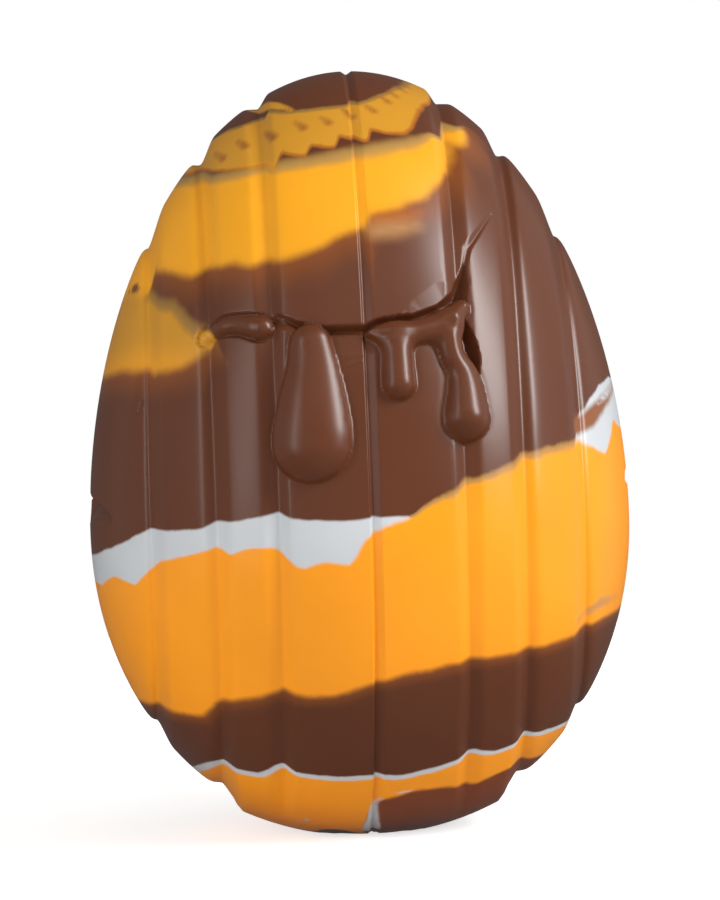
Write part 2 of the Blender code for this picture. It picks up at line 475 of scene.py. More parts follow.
GAP = Groove(
    (
        (-16.4, 102.0, 0.5, 0.5, 0.7),
        (-12.4, 100.1, 0.9, 1.2, 1.9),
        (-8.0, 99.2, 0.9, 1.2, 2.4),
        (-0.5, 99.2, 0.8, 1.1, 2.4),
        (2.4, 100.5, 0.7, 1.3, 2.4),
        (6.3, 101.0, 0.7, 1.3, 2.4),
        (9.0, 101.0, 0.9, 1.3, 2.4),
        (14.0, 102.6, 1.0, 1.3, 2.4),
        (17.5, 104.3, 1.7, 2.0, 2.4),
        (18.7, 107.4, 1.1, 1.3, 2.0),
        (19.5, 110.8, 0.4, 0.4, 0.8),
    ),
    power=1.5,
)
LOWER_CHAMFER = Groove(((-7.8, 98.9, 0.3, 4.4, 1.0), (0.0, 99.1, 0.3, 4.8, 1.0)))
RIGHT_CHIP = Groove(
    (
        (8.5, 101.6, 1.6, 0.4, 0.25),
        (11.1, 102.2, 3.0, 0.6, 0.45),
        (15.1, 104.0, 3.8, 0.8, 0.55),
    )
)
UPPER_CHIP = Groove(
    (
        (19.4, 110.6, 0.6, 0.5, 0.5),
        (20.4, 113.8, 1.2, 0.6, 0.5),
        (22.6, 116.6, 1.0, 0.6, 0.35),
        (25.4, 120.2, 0.5, 0.4, 0.1),
    )
)
LEFT_CHIP = Groove(((-16.8, 101.2, 1.4, 1.6, 0.9), (-12.6, 99.8, 0.8, 0.8, 0.9)))
STAVE_CHIP = Groove(((-42.4, 86.3, 0.7, 0.9, 0.3), (-43.2, 84.6, 0.5, 0.5, 0.3)))
LEFT_NOTCH = Groove(
    (
        (-53.48, 67.2, 1.4, 5.0, 2.6),
        (-52.3, 66.8, 0.5, 3.8, 2.0),
        (-50.8, 65.7, 0.4, 2.8, 1.6),
        (-49.3, 64.3, 0.3, 1.2, 0.6),
    )
)
RIGHT_NOTCH = Groove(((53.48, 68.8, 2.4, 1.7, 1.6), (52.2, 67.6, 0.8, 2.0, 0.9)))
CAVITY = Groove(
    (
        (18.5, 99.8, 0.5, 0.5, 1.2),
        (19.3, 97.4, 1.0, 1.0, 2.8),
        (19.9, 94.9, 1.3, 1.3, 3.0),
        (20.5, 92.7, 0.9, 0.9, 2.4),
        (20.9, 90.0, 0.2, 0.2, 0.4),
    ),
    power=1.6,
)
SLOT = ChainGroup(
    centre=(-25.0, 100.0),
    chains=(
        Chain(((-29.7, 98.4, 2.0), (-26.8, 100.4, 2.4), (-22.9, 100.7, 2.6), (-19.5, 100.0, 3.1)), 0.5),
    ),
    hollow=True,
)
SLOT_DRIP = ChainGroup(
    centre=(-25.0, 100.0),
    chains=(
        Chain(((-29.8, 98.3, 1.8), (-27.2, 100.2, 1.8), (-23.9, 100.7, 1.8), (-19.7, 100.0, 2.6)), 0.9),
    ),
    sunk=0.6 * MM,
    crease=0.0,
)
LARGE_DRIP = ChainGroup(
    centre=(-11.0, 84.0),
    chains=(
        Chain(
            (
                (-10.7, 96.5, 4.1),
                (-10.4, 91.5, 5.1),
                (-10.7, 85.6, 6.6),
                (-11.0, 80.4, 7.6),
                (-11.1, 78.3, 7.6),
            ),
            0.58,
        ),
    ),
)
LOWER_LIP = ChainGroup(
    centre=(-3.0, 92.0),
    chains=(Chain(((-4.7, 90.4, 0.3), (-4.6, 92.2, 0.4), (-1.2, 93.2, 0.4)), 0.35),),
    crease=0.0,
)
RIGHT_DRIPS = ChainGroup(
    centre=(12.0, 93.0),
    chains=(
        Chain(((5.5, 96.6, 3.0), (5.6, 88.7, 3.3)), 0.9),
        Chain(
            (
                (0.4, 98.4, 0.6),
                (2.6, 98.2, 1.8),
                (5.4, 97.8, 2.9),
                (8.8, 98.1, 2.5),
                (12.0, 98.7, 2.7),
                (15.2, 99.2, 2.9),
            ),
            0.9,
        ),
        Chain(((15.8, 100.2, 2.4), (17.9, 102.2, 1.9)), 1.6),
        Chain(((14.9, 98.6, 3.0), (15.8, 93.6, 2.6), (17.6, 89.0, 3.6), (17.8, 81.9, 4.9)), 1.05),
    ),
    blend=1.8 * MM,
)
RELIEF = FrontRelief(
    grooves=(
        GAP,
        LOWER_CHAMFER,
        RIGHT_CHIP,
        UPPER_CHIP,
        LEFT_CHIP,
        STAVE_CHIP,
        LEFT_NOTCH,
        RIGHT_NOTCH,
    ),
    groups=(SLOT, SLOT_DRIP, LOWER_LIP, LARGE_DRIP, RIGHT_DRIPS),
    cavity=CAVITY,
)


class Tone(Enum):
    """The chocolates of the marbling, as linear colours."""

    MILK = (0.105, 0.029, 0.010)
    ORANGE = (0.880, 0.300, 0.003)
    YELLOW_ORANGE = (0.830, 0.345, 0.006)
    MUSTARD = (0.570, 0.255, 0.014)
    WHITE = (0.520, 0.540, 0.560)
    SMUDGE = (0.300, 0.100, 0.012)
    RUST = (0.235, 0.062, 0.008)
    UMBER = (0.190, 0.045, 0.012)
    COPPER = (0.240, 0.080, 0.026)
    RED_FRINGE = (0.420, 0.110, 0.008)
    OLIVE_FRINGE = (0.270, 0.160, 0.040)
    TAN_FRINGE = (0.360, 0.240, 0.080)
    PALE_FRINGE = (0.460, 0.230, 0.080)
    AMBER = (0.740, 0.300, 0.008)

    @property
    def rgba(self) -> tuple[float, float, float, float]:
        """The colour with full cover."""
        return (*self.value, 1.0)


@dataclass(frozen=True)
class Border:
    """A line once round the egg, under which one chocolate is painted.

    route holds (turn, height): degrees from the front towards +X, and millimetres. softness is how
    far the colours run into each other, in millimetres, and fringe the tint where they do. softer
    holds (turn, how many times softer the line is there).
    """

    name: str
    tone: Tone
    softness: float
    route: tuple[tuple[float, float], ...]
    fringe: Tone | None = None
    fringe_cover: float = 0.6
    glow: Tone | None = None
    glow_depth: float = 2.5
    wobble: float = 0.5
    groove_lift: float = 0.5
    softer: tuple[tuple[float, float], ...] = ((0, 1.0),)

    def below(self, form: StavedForm, points: np.ndarray) -> np.ndarray:
        """How far under the border each point lies, in millimetres, negative above it."""
        turns = np.linspace(-180.0, 180.0, 1441)
        known, heights = zip(*self.route)
        line = np.interp(turns, known, heights, period=360.0)
        soft = np.exp(-np.linspace(-2.0, 2.0, 9) ** 2)
        soft = soft / soft.sum()
        reach = len(soft) // 2
        padded = np.concatenate((line[-reach - 1 : -1], line, line[1 : reach + 1]))
        line = np.convolve(padded, soft, mode="valid")
        steep = np.gradient(line, np.radians(turns))
        turn = np.degrees(np.arctan2(points[:, 0], -points[:, 1]))
        radius = np.hypot(points[:, 0], points[:, 1]) / MM
        recess = np.maximum(form.egg_radius(points[:, 2]) / MM - radius, 0.0)
        height = np.interp(turn, turns, line) + self.groove_lift * recess
        slope = np.interp(turn, turns, steep) / np.maximum(radius, 6.0)
        softer = np.interp(turn, *zip(*self.softer), period=360.0)
        return (height - points[:, 2] / MM) / np.hypot(1.0, slope) / softer


@dataclass(frozen=True)
class Marks:
    """Strokes of one chocolate, each a run of beads (x, z, radius) in millimetres on the front."""

    name: str
    tone: Tone
    softness: float
    strokes: tuple[Beads, ...]
    fringe: Tone | None = None
    fringe_cover: float = 0.6
    wobble: float = 0.3

    def inset(self, form: StavedForm, points: np.ndarray) -> np.ndarray:
        """How far inside the strokes each point lies, in millimetres, negative outside them."""
        best = np.full(len(points), -60.0)
        for beads in self.strokes:
            places = [form.front_point(x * MM, z * MM) for x, z, _ in beads]
            for k in range(len(beads) - 1):
                run = places[k + 1] - places[k]
                share = np.clip((points - places[k]) @ run / (run @ run), 0.0, 1.0)
                distance = np.linalg.norm(points - places[k] - share[:, None] * run, axis=1) / MM
                radius = beads[k][2] + (beads[k + 1][2] - beads[k][2]) * share
                best = np.maximum(best, radius - distance)
        return best


def feather_marks() -> tuple[Beads, ...]:
    """The smudges that a comb left along the pale band near the pointed end, smaller to the right."""
    places = (
        (-25.1, 132.8, 0.8), (-20.8, 135.0, 0.8), (-15.5, 136.4, 0.95), (-9.6, 138.0, 0.75),
        (-4.8, 138.8, 0.75), (-0.3, 140.2, 0.7), (4.1, 140.9, 0.6), (7.2, 142.7, 0.5),
        (8.9, 143.9, 0.4), (10.8, 144.9, 0.35), (11.8, 145.8, 0.3),
    )
    return tuple(((x, z, size), (x - 1.5, z + 1.2, 0.2)) for x, z, size in places)


@dataclass(frozen=True)
class Marbling:
    """All borders, from the pointed end down, and the strokes painted over them."""

    borders: tuple[Border, ...]
    marks: tuple[Marks, ...]

    def fields(self, form: StavedForm, points: np.ndarray) -> dict[str, np.ndarray]:
        """The distance to every border and stroke, by the name of its layer."""
        found = {border.name: border.below(form, points) for border in self.borders}
        found.update({mark.name: mark.inset(form, points) for mark in self.marks})
        return found


MARBLING = Marbling(
    borders=(
        Border(
            "feather_top",
            Tone.MUSTARD,
            0.6,
            (
                (-90, 136.0), (-79, 137.0), (-67, 138.5), (-56, 139.2), (-49, 139.6), (-47, 141.7),
                (-31, 141.3), (-16, 141.7), (-5, 142.0), (4, 142.6), (18, 144.0), (34, 145.7),
                (60, 147.0), (90, 147.6), (130, 147.8), (165, 146.5), (200, 143.0), (235, 139.5),
                (255, 137.0),
            ),
            fringe=Tone.OLIVE_FRINGE,
        ),
        Border(
            "feather_foot",
            Tone.MILK,
            0.6,
            (
                (-90, 130.5), (-70, 130.2), (-56, 130.4), (-40, 130.4), (-28.2, 130.2),
                (-27.2, 133.2), (-21.8, 132.6), (-17.8, 132.4), (-16.8, 134.5), (-12.3, 134.0),
                (-7.6, 133.9), (-6.4, 136.3), (-1.2, 135.5), (4.6, 135.2), (6.2, 137.5),
                (12.2, 136.5), (20.5, 136.3), (24.3, 137.3), (28, 139.0),
                (33.1, 140.7), (40.4, 142.0), (52.4, 142.9), (75, 144.8), (100, 145.2),
                (130, 143.5), (165, 140.0), (200, 136.0), (235, 132.0), (255, 131.0),
            ),
            fringe=Tone.RED_FRINGE,
        ),
        Border(
            "orange_top",
            Tone.YELLOW_ORANGE,
            2.0,
            (
                (-90, 129.0), (-77, 129.0), (-56, 128.4), (-34.6, 130.1), (-19.5, 131.0),
                (-5.7, 132.0), (8.8, 133.4), (16.7, 134.0), (25.6, 134.8), (31.7, 136.0),
                (33.9, 135.4), (37.6, 134.4), (43, 136.0), (48.4, 137.2), (57, 137.4), (60, 136.0),
                (63, 132.0), (100, 131.0), (150, 131.0), (175, 134.0), (205, 132.5), (240, 129.5),
            ),
            fringe=Tone.TAN_FRINGE,
            softer=((-90, 0.8), (-20, 1.0), (5, 1.2), (22, 1.0), (32, 0.4), (60, 0.35), (100, 0.8)),
        ),
        Border(
            "orange_foot",
            Tone.MILK,
            1.2,
            (
                (-110, 95.0), (-90, 92.0), (-72, 100.0), (-67, 105.0), (-65.2, 111.0),
                (-58.2, 111.4), (-51.9, 110.5), (-46.9, 109.7), (-42.4, 111.0), (-34.4, 112.2),
                (-29, 111.6), (-19.7, 112.5), (-10.9, 114.5), (-5.7, 116.9), (1.2, 117.9),
                (2.9, 120.6), (10.7, 121.3), (14, 122.6), (19.1, 123.2), (22.6, 124.9),
                (26, 126.2), (32, 128.0), (36, 130.6), (40, 133.4), (47.5, 134.2),
                (52, 136.0), (56, 138.5), (66, 140.0), (72, 140.0), (100, 141.0), (150, 141.0), (168, 131.0),
                (190, 124.0), (215, 116.0), (235, 106.0),
            ),
            glow=Tone.RUST,
        ),
        Border(
            "patch_top",
            Tone.MUSTARD,
            2.0,
            (
                (-120, 88.0), (-100, 106.0), (-90, 107.0), (-72, 107.5), (-66, 106.5), (-57, 105.0),
                (-50.8, 104.6), (-48, 103.1), (-45, 101.3), (-42.7, 100.2), (-40.6, 99.0),
                (-36.5, 96.0), (-30, 90.0), (0, 90.0), (120, 90.0), (180, 90.0), (230, 90.0),
            ),
            fringe=Tone.OLIVE_FRINGE,
        ),
        Border(
            "patch_glow",
            Tone.AMBER,
            4.0,
            (
                (-120, 90.0), (-100, 95.0), (-57, 95.6), (-44, 95.0), (-38, 94.0), (-30, 88.0),
                (0, 88.0), (120, 88.0), (180, 88.0), (230, 88.0),
            ),
        ),
        Border(
            "patch_foot",
            Tone.MILK,
            1.3,
            (
                (-120, 96.0), (-100, 92.0), (-83, 91.0), (-67, 92.3), (-58, 92.2), (-54.6, 91.4),
                (-49.5, 92.2), (-44.5, 92.7), (-41.8, 93.6), (-38.4, 95.4), (-37.0, 97.0),
                (-30, 98.0), (0, 97.0), (120, 97.0), (180, 97.0), (230, 97.0),
            ),
            glow=Tone.RUST,
            glow_depth=2.2,
        ),
        Border(
            "white_top",
            Tone.WHITE,
            0.35,
            (
                (-90, 56.2), (-79, 56.5), (-63, 59.1), (-53, 61.9), (-38, 62.4), (-33, 63.6),
                (-20, 65.1), (-15, 64.1), (-6, 63.7), (1, 64.1), (7, 64.2), (10, 62.0), (20, 64.0),
                (33, 68.0), (46, 70.0), (50, 75.0), (53, 80.0), (58, 84.0), (65, 86.7), (75, 88.0),
                (90, 87.5), (110, 82.0), (135, 76.0), (165, 73.0), (190, 70.5), (215, 65.0),
                (240, 59.0),
            ),
            wobble=0.35,
        ),
        Border(
            "wide_top",
            Tone.ORANGE,
            0.4,
            (
                (-90, 51.4), (-77, 50.7), (-67, 52.9), (-58, 51.5), (-49, 56.2), (-34, 58.7),
                (-30, 57.7), (-26, 59.0), (-21, 58.8), (-15, 54.8), (-10, 56.2), (-5, 55.3),
                (-2, 60.1), (2, 62.2), (7, 63.8), (13, 66.9), (20, 69.5), (27, 71.9), (33, 73.2),
                (39, 74.8), (52, 76.0), (59, 74.3), (62, 73.2), (67, 76.9), (71, 80.0), (75, 78.6),
                (90, 77.0), (110, 75.0), (128, 70.0), (145, 68.5), (165, 65.0), (180, 66.0),
                (195, 62.5), (215, 58.0), (235, 55.0), (255, 51.0),
            ),
            fringe=Tone.TAN_FRINGE,
            wobble=0.35,
            softer=((-20, 1.0), (8, 1.5), (18, 3.0), (50, 3.0), (57, 1.5), (70, 1.0)),
        ),
        Border(
            "wide_foot",
            Tone.MILK,
            0.8,
            (
                (-90, 27.1), (-74, 27.3), (-57, 26.5), (-47, 26.1), (-41, 28.6), (-22, 31.4),
                (-16, 30.4), (-9, 30.7), (-2, 32.5), (5, 34.2), (22, 36.3), (38, 37.3), (50, 39.2),
                (63, 41.6), (90, 43.7), (120, 45.0), (150, 43.0), (180, 39.0), (210, 34.0),
                (240, 29.0),
            ),
            glow=Tone.RUST,
            glow_depth=1.0,
        ),
        Border(
            "line_top",
            Tone.WHITE,
            0.25,
            (
                (-90, 13.8), (-76, 14.0), (-56, 16.2), (-44, 15.1), (-38, 14.6), (-30, 16.3),
                (-24, 14.9), (-12, 14.0), (0, 14.3), (7, 13.8), (17, 15.1), (26, 16.7), (29, 18.0),
                (36, 17.5), (45, 18.5), (47, 19.8), (67, 20.8), (90, 22.5), (120, 24.0),
                (150, 23.0), (180, 20.0), (210, 17.0), (240, 14.5),
            ),
            wobble=0.3,
        ),
        Border(
            "line_foot",
            Tone.ORANGE,
            0.25,
            (
                (-90, 12.9), (-76, 12.9), (-56, 14.9), (-44, 14.1), (-38, 13.6), (-30, 15.2),
                (-24, 13.9), (-12, 13.1), (0, 13.3), (7, 12.9), (17, 14.1), (26, 15.8), (29, 17.0),
                (36, 16.7), (45, 17.6), (47, 18.8), (67, 19.9), (90, 21.5), (120, 23.0),
                (150, 22.0), (180, 19.0), (210, 16.2), (240, 13.5),
            ),
            wobble=0.3,
        ),
        Border(
            "low_top",
            Tone.UMBER,
            0.5,
            (
                (-90, -8.0), (-14, -8.0), (-4, 5.0), (2, 8.6), (15, 10.4), (25, 10.6), (37, 10.4),
                (46, 12.9), (53, 13.4), (90, 15.0), (120, 15.0), (150, 11.0), (180, 5.0),
                (215, -3.0),
            ),
            fringe=None,
        ),
    ),
    marks=(
        Marks("feather_smudges", Tone.SMUDGE, 0.9, feather_marks()),
        Marks(
            "milk_marks",
            Tone.MILK,
            0.5,
            (
                ((-12.0, -0.5, 2.0), (-7.0, 0.5, 3.6), (-3.0, -0.3, 2.2)),
                ((-44.4, 107.6, 0.5), (-42.7, 108.4, 1.1), (-41.3, 107.5, 0.7)),
            ),
        ),
        Marks(
            "mustard_marks",
            Tone.MUSTARD,
            0.5,
            (
                ((-18.2, 142.6, 1.3), (-14.8, 142.9, 1.1), (-11.5, 141.7, 0.4)),
                ((-30.6, 98.5, 1.5), (-29.4, 97.7, 1.7)),
            ),
        ),
        Marks(
            "white_marks",
            Tone.WHITE,
            0.35,
            (
                ((-0.3, 8.2, 0.7), (-0.5, 5.6, 0.9), (-0.6, 1.5, 1.9)),
                ((-16.0, 3.0, 0.5), (-12.5, 4.6, 0.6)),
                ((0.5, 8.9, 0.35), (4.0, 10.0, 0.3), (8.0, 11.0, 0.2)),
            ),
        ),
        Marks(
            "copper_stroke",
            Tone.COPPER,
            0.8,
            (((40.6, 79.2, 1.6), (43.6, 80.6, 1.8), (47.0, 83.6, 1.3), (50.4, 86.6, 0.8)),),
        ),
        Marks(
            "stroke_light",
            Tone.WHITE,
            0.6,
            (((45.4, 83.2, 0.2), (47.4, 84.6, 0.7), (50.0, 86.4, 0.4)),),
        ),
        Marks(
            "rust_stroke",
            Tone.RED_FRINGE,
            2.0,
            (((3.2, 119.6, 0.9), (7.0, 120.0, 0.9), (11.0, 120.6, 0.4)),),
        ),
        Marks(
            "pale_stroke",
            Tone.PALE_FRINGE,
            2.6,
            (((2.8, 117.6, 1.2), (6.5, 117.8, 1.1), (10.5, 118.3, 0.4)),),
        ),
        Marks(
            "side_speck",
            Tone.PALE_FRINGE,
            0.8,
            (((39.8, 42.0, 0.6), (44.7, 44.9, 1.0), (52.0, 46.6, 1.0)),),
        ),
    ),
)


@dataclass(frozen=True)
class EdgeGroup:
    """The node group that turns a distance into cover, with a ragged and soft edge."""

    name: str = "chocolate_edge"

    def build(self) -> bpy.types.NodeTree:
        """Makes the group.

        Returns:
            A group with Distance, Softness and Wobble in, and Cover and Fringe out.
        """
        tree = bpy.data.node_groups.new(self.name, "ShaderNodeTree")
        for label in ("Distance", "Softness", "Wobble"):
            tree.interface.new_socket(label, in_out="INPUT", socket_type="NodeSocketFloat")
        for label in ("Cover", "Fringe"):
            tree.interface.new_socket(label, in_out="OUTPUT", socket_type="NodeSocketFloat")
        nodes, links = tree.nodes, tree.links
        given, made = nodes.new("NodeGroupInput"), nodes.new("NodeGroupOutput")
        place = nodes.new("ShaderNodeTexCoord")
        noise = nodes.new("ShaderNodeTexNoise")
        noise.inputs["Scale"].default_value = 260.0
        noise.inputs["Detail"].default_value = 3.0
        links.new(place.outputs["Object"], noise.inputs["Vector"])
        centred = math_node(tree, "SUBTRACT", noise.outputs["Fac"], 0.5)
        ragged = math_node(tree, "MULTIPLY", centred, given.outputs["Wobble"])
        doubled = math_node(tree, "MULTIPLY", ragged, 2.0)
        distance = math_node(tree, "ADD", given.outputs["Distance"], doubled)
        share = math_node(tree, "DIVIDE", distance, given.outputs["Softness"])
        cover = nodes.new("ShaderNodeMapRange")
        cover.interpolation_type = "SMOOTHSTEP"
        cover.inputs["From Min"].default_value = -1.0
        links.new(share, cover.inputs["Value"])
        rest = math_node(tree, "SUBTRACT", 1.0, cover.outputs["Result"])
        product = math_node(tree, "MULTIPLY", cover.outputs["Result"], rest)
        fringe = math_node(tree, "MULTIPLY", product, 4.0)
        links.new(cover.outputs["Result"], made.inputs["Cover"])
        links.new(fringe, made.inputs["Fringe"])
        return tree


def math_node(
    tree: bpy.types.NodeTree,
    operation: str,
    first: bpy.types.NodeSocket | float,
    second: bpy.types.NodeSocket | float,
) -> bpy.types.NodeSocket:
    """Adds a Math node.

    Args:
        tree: The tree to add it to.
        operation: Its operation.
        first: Its first input, a socket or a number.
        second: Its second input, a socket or a number.

    Returns:
        Its output.
    """
    node = tree.nodes.new("ShaderNodeMath")
    node.operation = operation
    for slot, value in zip(node.inputs, (first, second)):
        if isinstance(value, bpy.types.NodeSocket):
            tree.links.new(value, slot)
        else:
            slot.default_value = value
    return node.outputs[0]


def mix_node(
    tree: bpy.types.NodeTree,
    cover: bpy.types.NodeSocket,
    under: bpy.types.NodeSocket | tuple[float, float, float, float],
    over: bpy.types.NodeSocket | tuple[float, float, float, float],
) -> bpy.types.NodeSocket:
    """Adds a colour Mix node.

    Args:
        tree: The tree to add it to.
        cover: How much of the upper colour shows.
        under: The lower colour, a socket or a value.
        over: The upper colour, a socket or a value.

    Returns:
        The mixed colour.
    """
    node = tree.nodes.new("ShaderNodeMix")
    node.data_type = "RGBA"
    tree.links.new(cover, node.inputs["Factor"])
    for slot, value in zip((node.inputs[6], node.inputs[7]), (under, over)):
        if isinstance(value, bpy.types.NodeSocket):
            tree.links.new(value, slot)
        else:
            slot.default_value = value
    return node.outputs[2]


@dataclass(frozen=True)
class SatinChocolate:
    """The marbled chocolate skin, as it comes out of a polished mould."""

    name: str = "marbled_chocolate"
    roughness_low: float = 0.30
    roughness_high: float = 0.36
    grain_scale: float = 2600.0
    grain_strength: float = 0.05
    grain_height: float = 0.05 * MM

    def build(self, marbling: Marbling) -> bpy.types.Material:
        """Makes the material.

        Args:
            marbling: The layers, whose distances the mesh carries under the same names.

        Returns:
            The material.
        """
        material = bpy.data.materials.new(self.name)
        material.use_nodes = True
        tree = material.node_tree
        shader = tree.nodes["Principled BSDF"]
        edge_tree = EdgeGroup().build()
        milk = tree.nodes.new("ShaderNodeRGB")
        milk.outputs[0].default_value = Tone.MILK.rgba
        colour = milk.outputs[0]
        for layer in (*marbling.borders, *marbling.marks):
            colour = self.painted(tree, edge_tree, layer, colour)
        place = tree.nodes.new("ShaderNodeTexCoord")
        clouds = self.noise(tree, place, 45.0, 3.0)
        grain = self.noise(tree, place, self.grain_scale, 2.0)
        tree.links.new(self.shaded(tree, colour, clouds), shader.inputs["Base Color"])
        rough = tree.nodes.new("ShaderNodeMapRange")
        rough.inputs["To Min"].default_value = self.roughness_low
        rough.inputs["To Max"].default_value = self.roughness_high
        tree.links.new(clouds, rough.inputs["Value"])
        tree.links.new(rough.outputs["Result"], shader.inputs["Roughness"])
        bump = tree.nodes.new("ShaderNodeBump")
        bump.inputs["Strength"].default_value = self.grain_strength
        bump.inputs["Distance"].default_value = self.grain_height
        tree.links.new(grain, bump.inputs["Height"])
        tree.links.new(bump.outputs["Normal"], shader.inputs["Normal"])
        return material

    def painted(
        self,
        tree: bpy.types.NodeTree,
        edge_tree: bpy.types.NodeTree,
        layer: Border | Marks,
        under: bpy.types.NodeSocket,
    ) -> bpy.types.NodeSocket:
        """Paints one layer over the colour so far.

        Args:
            tree: The material's nodes.
            edge_tree: The group that makes a soft and ragged edge.
            layer: The layer.
            under: The colour so far.

        Returns:
            The new colour.
        """
        distance = tree.nodes.new("ShaderNodeAttribute")
        distance.attribute_name = layer.name
        edge = tree.nodes.new("ShaderNodeGroup")
        edge.node_tree = edge_tree
        edge.inputs["Softness"].default_value = layer.softness
        edge.inputs["Wobble"].default_value = layer.wobble
        tree.links.new(distance.outputs["Fac"], edge.inputs["Distance"])
        colour = mix_node(tree, edge.outputs["Cover"], under, layer.tone.rgba)
        glow = layer.glow if isinstance(layer, Border) else None
        if layer.fringe is None and glow is None:
            return colour
        unlike = tree.nodes.new("ShaderNodeVectorMath")
        unlike.operation = "DISTANCE"
        tree.links.new(under, unlike.inputs[0])
        unlike.inputs[1].default_value = Tone.MILK.value
        pale = math_node(tree, "MINIMUM", math_node(tree, "MULTIPLY", unlike.outputs["Value"], 4.0), 1.0)
        if glow is not None:
            lit_cover = math_node(tree, "MULTIPLY", edge.outputs["Cover"], pale)
            lit = mix_node(tree, lit_cover, under, glow.rgba)
            deeper = math_node(tree, "SUBTRACT", distance.outputs["Fac"], layer.glow_depth)
            fade = tree.nodes.new("ShaderNodeGroup")
            fade.node_tree = edge_tree
            fade.inputs["Softness"].default_value = 2.0 * layer.glow_depth
            fade.inputs["Wobble"].default_value = layer.wobble
            tree.links.new(deeper, fade.inputs["Distance"])
            return mix_node(tree, fade.outputs["Cover"], lit, layer.tone.rgba)
        meets = pale if layer.tone is Tone.MILK else math_node(tree, "SUBTRACT", 1.0, pale)
        tint = math_node(tree, "MULTIPLY", edge.outputs["Fringe"], layer.fringe_cover)
        return mix_node(tree, math_node(tree, "MULTIPLY", tint, meets), colour, layer.fringe.rgba)

    def noise(
        self, tree: bpy.types.NodeTree, place: bpy.types.Node, scale: float, detail: float
    ) -> bpy.types.NodeSocket:
        """A noise pattern that is fixed to the egg."""
        node = tree.nodes.new("ShaderNodeTexNoise")
        node.inputs["Scale"].default_value = scale
        node.inputs["Detail"].default_value = detail
        tree.links.new(place.outputs["Object"], node.inputs["Vector"])
        return node.outputs["Fac"]

    def shaded(
        self,
        tree: bpy.types.NodeTree,
        colour: bpy.types.NodeSocket,
        clouds: bpy.types.NodeSocket,
    ) -> bpy.types.NodeSocket:
        """The colour made slightly lighter and darker in soft clouds."""
        node = tree.nodes.new("ShaderNodeHueSaturation")
        light = tree.nodes.new("ShaderNodeMapRange")
        light.inputs["To Min"].default_value = 0.9
        light.inputs["To Max"].default_value = 1.1
        tree.links.new(clouds, light.inputs["Value"])
        tree.links.new(light.outputs["Result"], node.inputs["Value"])
        tree.links.new(colour, node.inputs["Color"])
        return node.outputs["Color"]


@dataclass
class ChocolateEgg:
    """The whole egg, one piece of chocolate."""

    form: StavedForm
    relief: FrontRelief
    marbling: Marbling
    finish: SatinChocolate
    passes: int = 4
    slack: float = 1.35
    feather_from: float = 127 * MM
    feather_facet: float = 0.6 * MM
    piece: bpy.types.Object | None = field(default=None, init=False)

    def place(self, ball: np.ndarray) -> np.ndarray:
        """The staved egg's points for points of the ball that it grows from."""
        stations = self.form.stations()
        share = np.arccos(np.clip(-ball[:, 0], -1.0, 1.0)) / math.pi
        x = np.interp(share * (len(stations) - 1), np.arange(len(stations)), stations)
        angle = np.arctan2(ball[:, 2], ball[:, 1])
        reach = self.form.reach(x, angle)
        z = self.form.equator + reach * np.sin(angle)
        x = x - np.sign(x) * self.form.lean_at(x, z)
        return np.stack((x, reach * np.cos(angle), z), axis=1)

    def facet_at(self, points: np.ndarray) -> np.ndarray:
        """How long an edge may be at each point, for the relief on both halves."""
        widest = 3.0 * MM
        front = self.relief.facet_at(self.form, points, widest)
        back = self.relief.facet_at(self.form, half_turned(points), widest)
        feathered = np.where(points[:, 2] > self.feather_from, self.feather_facet, widest)
        return np.minimum(np.minimum(front, back), feathered)

    def refine(self, bm: bmesh.types.BMesh) -> None:
        """Cuts the edges that are too long for the relief near them."""
        for _ in range(self.passes):
            bm.verts.index_update()
            ball = np.array([vert.co[:] for vert in bm.verts])
            points = self.place(ball)
            facet = self.facet_at(points)
            ends = np.array([(edge.verts[0].index, edge.verts[1].index) for edge in bm.edges])
            length = np.linalg.norm(points[ends[:, 0]] - points[ends[:, 1]], axis=1)
            allowed = self.slack * (facet[ends[:, 0]] + facet[ends[:, 1]]) / 2.0
            chosen = [edge for edge, cut in zip(bm.edges, length > allowed) if cut]
            if not chosen:
                return
            bmesh.ops.subdivide_edges(bm, edges=chosen, cuts=1, use_grid_fill=True)

    def build(self) -> None:
        """Models the egg and gives its vertices the marbling's distances."""
        bm = bmesh.new()
        bmesh.ops.create_uvsphere(
            bm,
            u_segments=self.form.segments_around,
            v_segments=len(self.form.stations()) - 1,
            radius=1.0,
            matrix=Matrix.Rotation(math.pi / 2, 4, "Y"),
        )
        self.refine(bm)
        smooth = self.place(np.array([vert.co[:] for vert in bm.verts]))
        carved = self.relief.carve(self.form, smooth)
        carved = half_turned(self.relief.carve(self.form, half_turned(carved)))
        carved[:, 2] = np.maximum(carved[:, 2], 0.0)
        for vert, spot in zip(bm.verts, carved):
            vert.co = spot
        bmesh.ops.triangulate(bm, faces=[face for face in bm.faces if len(face.verts) > 4])
        mesh = bpy.data.meshes.new("egg_skin")
        bm.to_mesh(mesh)
        bm.free()
        for name, values in self.marbling.fields(self.form, smooth).items():
            attribute = mesh.attributes.new(name, "FLOAT", "POINT")
            attribute.data.foreach_set("value", values.astype(np.float32))
        mesh.shade_smooth()
        self.piece = bpy.data.objects.new("egg_skin", mesh)
        bpy.context.scene.collection.objects.link(self.piece)

    def dress(self) -> None:
        """Gives the egg its material."""
        self.piece.data.materials.append(self.finish.build(self.marbling))

    def fit(self) -> None:
        """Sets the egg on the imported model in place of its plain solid."""
        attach(self.piece, "root")
        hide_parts("egg")
        count = sum(len(face.vertices) - 2 for face in self.piece.data.polygons)
        log.info("%s: %d triangles", self.piece.name, count)


